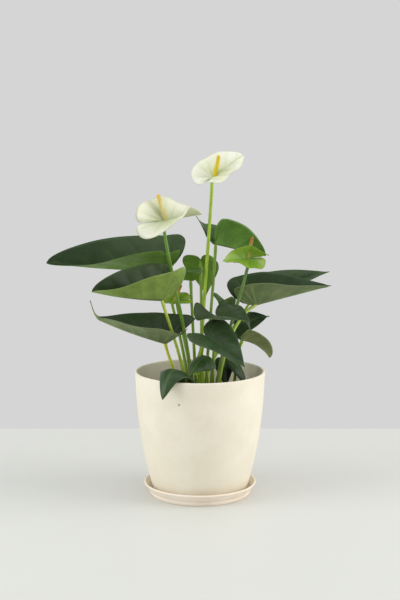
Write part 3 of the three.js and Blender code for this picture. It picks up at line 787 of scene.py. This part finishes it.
# ---------------------------------------------------------------- the plant
# Places in millimetres from the middle of the potting mix, heights above its top.
# foot, base and tip: where the stalk stands, and where the blade starts and ends. width: across it.
# fold, at the base, and tipFold: degrees that each half folds up. lobe: how far each lobe runs back.
# roll and twist: degrees about the midrib, and more by the tip. arch: rise at mid length.
# lift: how far the lobes rise. tail: how far the tip turns up. taper: below 1 a fuller tip.
# notch: leaves out the outline nearest the stalk. arrive: how the stalk leans in.
# narrow and curl: each half's narrowing towards the base, and its curl. wave, waves: the margin's.
leaves = {
  "left_upper": {
    "foot": [-13, 8], "base": [-38, 24, 135], "tip": [-168, 34, 141], "width": 90, "twist": -38,
    "fold": [48, 46], "tipFold": [32, 38], "arch": -3, "lobe": [0.13, 0.16], "lift": 10, "taper": 0.6,
  },
  "left_middle": {
    "foot": [-15, -10], "base": [-40, -25, 108], "tip": [-111, -55, 121], "width": 80, "twist": -10,
    "fold": [66, 66], "tipFold": [28, 75], "arch": -2, "lobe": [0.26, 0.14], "lift": 10, "taper": 0.55,
    "arrive": [11, 2, -38],
  },
  "left_lower": {
    "foot": [-21, -14], "base": [-37, -19, 61], "tip": [-114, -42, 94], "width": 68, "notch": 0.4,
    "fold": [26, 76], "tipFold": [28, 40], "arch": -2, "lobe": [0.14, 0.30], "lift": 14, "tail": 16,
  },
  "centre_back": {
    "foot": [-5, 8], "base": [-10, 8, 125], "tip": [-52, 3, 123], "width": 36,
    "fold": [35, 35], "arch": 2, "lobe": [0.28, 0.28], "lift": 8,
  },
  "rear_hanging": {
    "foot": [2, 13], "base": [1, 40, 143], "tip": [7, 65, 101], "width": 40,
    "fold": [-10, -10], "arch": 4, "lobe": [0.25, 0.25],
  },
  "right_top": {
    "foot": [7, 5], "base": [17, 10, 164], "tip": [72, 50, 147], "width": 66,
    "fold": [42, 70], "tipFold": [50, 50], "lobe": [0.34, 0.12], "lift": 14, "taper": 0.7,
  },
  "right_large": {
    "foot": [20, -3], "base": [61, 24, 96], "tip": [144, 40, 115], "width": 70, "roll": 8, "twist": 6,
    "fold": [66, 62], "tipFold": [58, 40], "lobe": [0.30, 0.26], "lift": 8, "arrive": [-28, -22, -10],
  },
  "right_rear": {
    "foot": [4, 28], "base": [60, 58, 102], "tip": [146, 78, 126], "width": 42,
    "fold": [25, 25], "arch": 2, "lobe": [0.16, 0.16], "lift": 2, "arrive": [-14, 2, -30],
  },
  "centre_small": {
    "foot": [12, 10], "base": [23, 17, 97], "tip": [38, 48, 87], "width": 32,
    "fold": [50, 35], "arch": 1, "lobe": [0.12, 0.12],
  },
  "centre_folded": {
    "foot": [13, -6], "base": [19, -21, 90], "tip": [52, -57, 89], "width": 50,
    "fold": [27, 14], "arch": 1, "lobe": [0.24, 0.36], "lift": 11, "tail": -9, "arrive": [-3, 9, -14],
  },
  "front_large": {
    "foot": [2, -13], "base": [7, -38, 71], "tip": [46, -63, 44], "width": 54, "roll": 14,
    "fold": [28, 12], "arch": 2, "lobe": [0.22, 0.24], "arrive": [-9, 16, -18],
  },
  "right_pale": {
    "foot": [27, 23], "base": [46, 18, 58], "tip": [77, 32, 36], "width": 36,
    "fold": [10, 45], "arch": 6, "lobe": [0.1, 0.1], "taper": 0.6,
  },
  "right_dark": {
    "foot": [18, 23], "base": [40, 34, 73], "tip": [76, 26, 83], "width": 38,
    "fold": [30, -45], "arch": 1, "lobe": [0.15, 0.15], "arrive": [-8, 2, -20],
  },
  "front_small": {
    "foot": [9, -20], "base": [6, -39, 50], "tip": [-10, -62, 35], "width": 32,
    "fold": [-50, -15], "arch": 3, "lobe": [0.2, 0.2],
  },
  "low_centre": {
    "foot": [21, 17], "base": [26, 13, 33], "tip": [28, 3, 8], "width": 20,
    "fold": [-15, -15], "arch": 2, "lobe": [0.3, 0.3],
  },
  "low_right": {
    "foot": [37, 6], "base": [39, 6, 33], "tip": [49, -2, 10], "width": 20,
    "fold": [-15, -15], "arch": 2, "lobe": [0.3, 0.3],
  },
  "furled": {
    "foot": [-4, -9], "base": [0, -11, 31], "tip": [5, -12, 66], "width": 14,
    "fold": [60, 60], "lobe": [0.2, 0.2],
  },
}

for leaf in leaves.values():
    leaf["base"][2] += SOIL_LEVEL
    leaf["tip"][2] += SOIL_LEVEL


def over_rim(beyond, azimuth, height):
    """A place beyond the rim, so far round and so far above it."""
    radius = RIM_RADIUS + beyond
    turn = math.radians(azimuth)
    return [radius * math.cos(turn), radius * math.sin(turn), RIM_HEIGHT + height]


# One leaf arches over the rim and hangs down outside, so it is placed from the rim.
leaves["over_rim"] = {
    "foot": [-12, -26], "base": over_rim(-33, -112, -2), "tip": over_rim(17, -116, -15), "width": 40,
    "fold": [-25, -10], "arch": 20, "lobe": [0.2, 0.2], "taper": 0.7,
}

# Upper and lower side of each leaf. The rear_hanging leaf's bright yellow-green, its underside most, is
# painted light shining through it from behind.
LEAF_TONES = {
    "left_upper": (srgb(27, 50, 19), srgb(98, 134, 46)),
    "left_middle": (srgb(33, 55, 24), srgb(124, 148, 72)),
    "left_lower": (srgb(32, 52, 26), srgb(118, 134, 92)),
    "centre_back": (srgb(60, 97, 28), srgb(95, 134, 41)),
    # rear_hanging: its own green brightened with painted light shining through the leaf from behind
    "rear_hanging": (srgb(75, 115, 29), srgb(108, 148, 41)),
    "right_top": (srgb(48, 80, 29), srgb(84, 123, 45)),
    "right_large": (srgb(27, 51, 20), srgb(102, 119, 74)),
    "right_rear": (srgb(42, 65, 34), srgb(87, 107, 66)),
    "centre_small": (srgb(58, 92, 31), srgb(96, 123, 62)),
    "centre_folded": (srgb(36, 58, 28), srgb(116, 132, 88)),
    "front_large": (srgb(40, 63, 34), srgb(116, 132, 88)),
    "right_pale": (srgb(70, 93, 41), srgb(122, 134, 84)),
    "right_dark": (srgb(30, 54, 23), srgb(87, 109, 55)),
    "front_small": (srgb(42, 70, 32), srgb(95, 119, 63)),
    "low_centre": (srgb(36, 52, 34), srgb(82, 100, 65)),
    "low_right": (srgb(32, 55, 25), srgb(79, 103, 52)),
    "furled": (srgb(108, 143, 46), srgb(157, 187, 69)),
    "over_rim": (srgb(42, 65, 37), srgb(90, 111, 69)),
}
STALK_FOOT = srgb(130, 150, 62)
STALK_TOP = srgb(132, 166, 38)
STALK_TOPS = {
    "left_middle": srgb(172, 192, 66), "left_lower": srgb(196, 204, 56), "low_centre": srgb(150, 186, 56),
    "right_large": srgb(164, 190, 70), "right_top": srgb(112, 148, 44), "right_rear": srgb(150, 180, 60),
}

# Margin, heart and underside of each spathe, and each rod from foot to tip. Each bright margin is partly
# painted highlight and each grey-green heart partly painted shade.
TALL_TONES = (srgb(233, 234, 220), srgb(184, 192, 140), srgb(206, 211, 176))
LEFT_TONES = (srgb(224, 226, 208), srgb(172, 182, 128), srgb(190, 195, 158))
GREEN_TONES = (srgb(134, 166, 52), srgb(92, 136, 30), srgb(116, 152, 46))
TALL_ROD = ((0.0, srgb(212, 198, 44)), (0.5, srgb(226, 206, 44)), (1.0, srgb(222, 196, 40)))
LEFT_ROD = ((0.0, srgb(214, 206, 140)), (0.6, srgb(226, 212, 150)), (1.0, srgb(228, 190, 40)))
BROWN_ROD = ((0.0, srgb(160, 168, 66)), (0.6, srgb(176, 150, 62)), (1.0, srgb(168, 104, 44)))

flowers = {
  "tall": {
    "foot": [0, -2], "base": [13, 5, 235], "tip": [46, 18, 258], "width": 48, "roll": 38,
    "fold": [22, 26], "tipFold": [22, 26], "lobe": [0.38, 0.15],
    "spadix": {"radius": 2.4, "tip": [20, 0, 259], "tones": TALL_ROD},
    "tones": TALL_TONES, "slots": ("spathe", "spadix"),
  },
  "left": {
    "foot": [-9, -9], "base": [-39, -20, 191], "tip": [2, 0, 197], "width": 50, "roll": 62, "twist": -50,
    "fold": [22, 6], "tipFold": [15, 62], "lobe": [0.6, 0.62], "lift": 4,
    "spadix": {"radius": 2.8, "tip": [-44, -22, 219], "tones": LEFT_ROD},
    "tones": LEFT_TONES, "slots": ("spathe", "spadix"),
  },
  "right": {
    "foot": [18, -8], "base": [53, -2, 150], "tip": [24, -21, 149], "width": 34, "roll": -78, "twist": 45,
    "fold": [20, 4], "tipFold": [40, 10], "lobe": [0.5, 0.46],
    "spadix": {"radius": 2.2, "tip": [56, -4, 173], "tones": BROWN_ROD},
    "tones": GREEN_TONES, "slots": ("spathe_green", "spadix_green"),
  },
  "young": {
    "foot": [-8, 2], "base": [-25, 2, 103], "tip": [-42, 2, 101], "width": 18,
    "fold": [20, 20], "lobe": [0.6, 0.6],
    "spadix": {"radius": 1.8, "tip": [-20, 2, 121], "tones": BROWN_ROD},
    "tones": GREEN_TONES, "slots": ("spathe_green", "spadix_green"),
  },
}

for flower in flowers.values():
    flower["base"][2] += SOIL_LEVEL
    flower["tip"][2] += SOIL_LEVEL
    flower["spadix"]["tip"][2] += SOIL_LEVEL


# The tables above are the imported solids' own. The finished blades depart from them a little here.
leaves["right_top"].update(narrow=(0.2, 0.1), lift=(15, 1))
leaves["centre_folded"].update(lift=(4, 17), lobe=[0.24, 0.42], fold=[27, -12], tipFold=[27, 14])
leaves["left_upper"].update(narrow=(0.42, 0.0))
leaves["left_lower"].update(fold=[26, 70])
leaves["right_rear"].update(roll=34, width=46)
leaves["right_pale"].update(width=37, taper=0.5, arch=4)
flowers["tall"].update(stalk=srgb(150, 182, 36), taper=0.8, wave=1.7, waves=3.2, curl=(-20, 10))
flowers["left"].update(stalk=srgb(98, 138, 30), taper=1.35, wave=1.9, waves=3.6, tipFold=[35, 75],
                       lobe=[0.62, 0.68])
flowers["young"].update(width=22, roll=-40, twist=30, lobe=[0.9, 0.8])
flowers["right"].update(stalk=srgb(88, 120, 44), taper=1.5, wave=2.4, waves=3.6, roll=-114, twist=70,
                        fold=[46, 44], curl=(10, 28), width=32, lobe=[0.5, 0.54])


# ---------------------------------------------------------------- build
make_pot()
make_saucer()
make_mix()

for number, (name, leaf) in enumerate(leaves.items()):
    rows, columns, ribs = (76, 15, 9) if leaf["width"] > LARGE_LEAF else (52, 10, 7)
    look = {
        "rows": rows, "columns": columns, "ribs": ribs, "puff": 0.55, "bulge": 1.6,
        "wave": 1.3, "waves": 2.6, "seed": (number * 0.618) % 1, "thickness": LEAF_THICKNESS,
        "keel": 0.9, "rib_width": 0.17, "rib_tone": 0.5, "skin": LEAF_SKIN,
        "tint": leaf_tint(*LEAF_TONES[name]),
    }
    blade = make_blade(f"blade_{name}", leaf, LEAF_OUTLINE, look)
    settle(blade, f"leaf_{name}", slot="young_leaf" if name == "furled" else "leaf")
    _, _, end = blade_seat(leaf, LEAF_THICKNESS)
    path = stem_path(leaf["foot"], end, leaf.get("arrive"))
    stalk = make_stalk(f"stalk_{name}", path, PETIOLE_RADIUS, STALK_FOOT,
                       STALK_TOPS.get(name, STALK_TOP), 0.22)
    settle(stalk, f"petiole_{name}", slot="stem")

for number, (name, flower) in enumerate(flowers.items()):
    rows, columns = (72, 14) if flower["width"] > LARGE_SPATHE else (44, 9)
    look = {
        "rows": rows, "columns": columns, "ribs": 8, "puff": 0.8, "bulge": -1.0,
        "wave": flower.get("wave", 1.6), "waves": flower.get("waves", 3.1),
        "seed": 0.15 + number * 0.31, "thickness": SPATHE_THICKNESS, "keel": 0.5,
        "rib_width": 0.26, "rib_tone": 0.85, "skin": SPATHE_SKIN,
        "tint": spathe_tint(*flower["tones"]),
    }
    spathe = make_blade(f"bract_{name}", flower, SPATHE_OUTLINE, look)
    settle(spathe, f"spathe_{name}", slot=flower["slots"][0])
    start, face, end = blade_seat(flower, SPATHE_THICKNESS)
    stalk = make_stalk(f"flower_stalk_{name}", stem_path(flower["foot"], end), PEDUNCLE_RADIUS,
                       STALK_FOOT, flower.get("stalk", STALK_TOP), 0.0)
    settle(stalk, f"peduncle_{name}", slot="stem")
    rod = flower["spadix"]
    forward = unit(np.array(flower["tip"], float) - np.array(flower["base"], float))
    seat = start + forward * rod["radius"] * 1.4 - face * 0.2
    spadix = make_spadix(f"florets_{name}", seat, rod["tip"], rod["radius"], rod["tones"], 0.55)
    settle(spadix, f"spadix_{name}", slot=flower["slots"][1])


# ---------------------------------------------------------------- stage, light and camera
def make_stage():
    """The pale table, ending where the plain wall begins."""
    mesh = bpy.data.meshes.new("table_top")
    left, right, front, back = -3.0, 3.0, -3.0, 0.285
    mesh.from_pydata([(left, front, 0), (right, front, 0), (right, back, 0), (left, back, 0)], [],
                     [(0, 1, 2, 3)])
    material, tree, shader, place = surface("table_paint", 0.42, Specular_IOR_Level=0.3)
    tone = mixed(tree, noise(tree, place, 6, 2), srgb(211, 212, 207), srgb(214, 215, 210))
    tree.links.new(tone, shader.inputs["Base Color"])
    mesh.materials.append(material)
    table = bpy.data.objects.new("table_top", mesh)
    bpy.context.scene.collection.objects.link(table)


def soft_light(name, place, aim, size, power, tint=(1, 1, 1)):
    """A large soft lamp that faces its aim."""
    data = bpy.data.lights.new(name, "AREA")
    data.shape = "RECTANGLE"
    data.size, data.size_y = size
    data.energy = power
    data.color = tint
    lamp = bpy.data.objects.new(name, data)
    bpy.context.scene.collection.objects.link(lamp)
    lamp.location = place
    heading = np.array(aim, float) - np.array(place, float)
    yaw = math.atan2(heading[1], heading[0]) - math.pi / 2
    pitch = math.atan2(heading[2], math.hypot(heading[0], heading[1])) + math.pi / 2
    lamp.rotation_euler = (pitch, 0, yaw)


make_stage()
soft_light("window_left", (-1.5, -0.5, 0.7), (0, 0, 0.15), (1.1, 1.2), 13, (0.96, 0.99, 1.0))
soft_light("window_right", (1.6, -0.3, 0.7), (0, 0, 0.15), (1.1, 1.2), 16, (1.0, 0.99, 0.97))
soft_light("overhead", (0.1, -0.2, 1.9), (0, 0, 0.1), (1.6, 1.6), 9)

world = bpy.data.worlds.new("studio")
bpy.context.scene.world = world
world.use_nodes = True
background = world.node_tree.nodes["Background"]
background.inputs["Color"].default_value = (*srgb(213, 213, 213), 1)
background.inputs["Strength"].default_value = 1.0

CAMERA_PITCH = 8           # degrees that the camera looks down
camera_data = bpy.data.cameras.new("camera")
camera_data.sensor_width = 36.0
camera_data.lens = 74.6
camera_data.clip_start = 0.05
camera_data.clip_end = 20
camera = bpy.data.objects.new("camera", camera_data)
bpy.context.scene.collection.objects.link(camera)
camera.location = (0, -1.319, 0.397)
camera.rotation_euler = (math.radians(90 - CAMERA_PITCH), 0, 0)
bpy.context.scene.camera = camera
bpy.context.scene.view_settings.view_transform = "Standard"
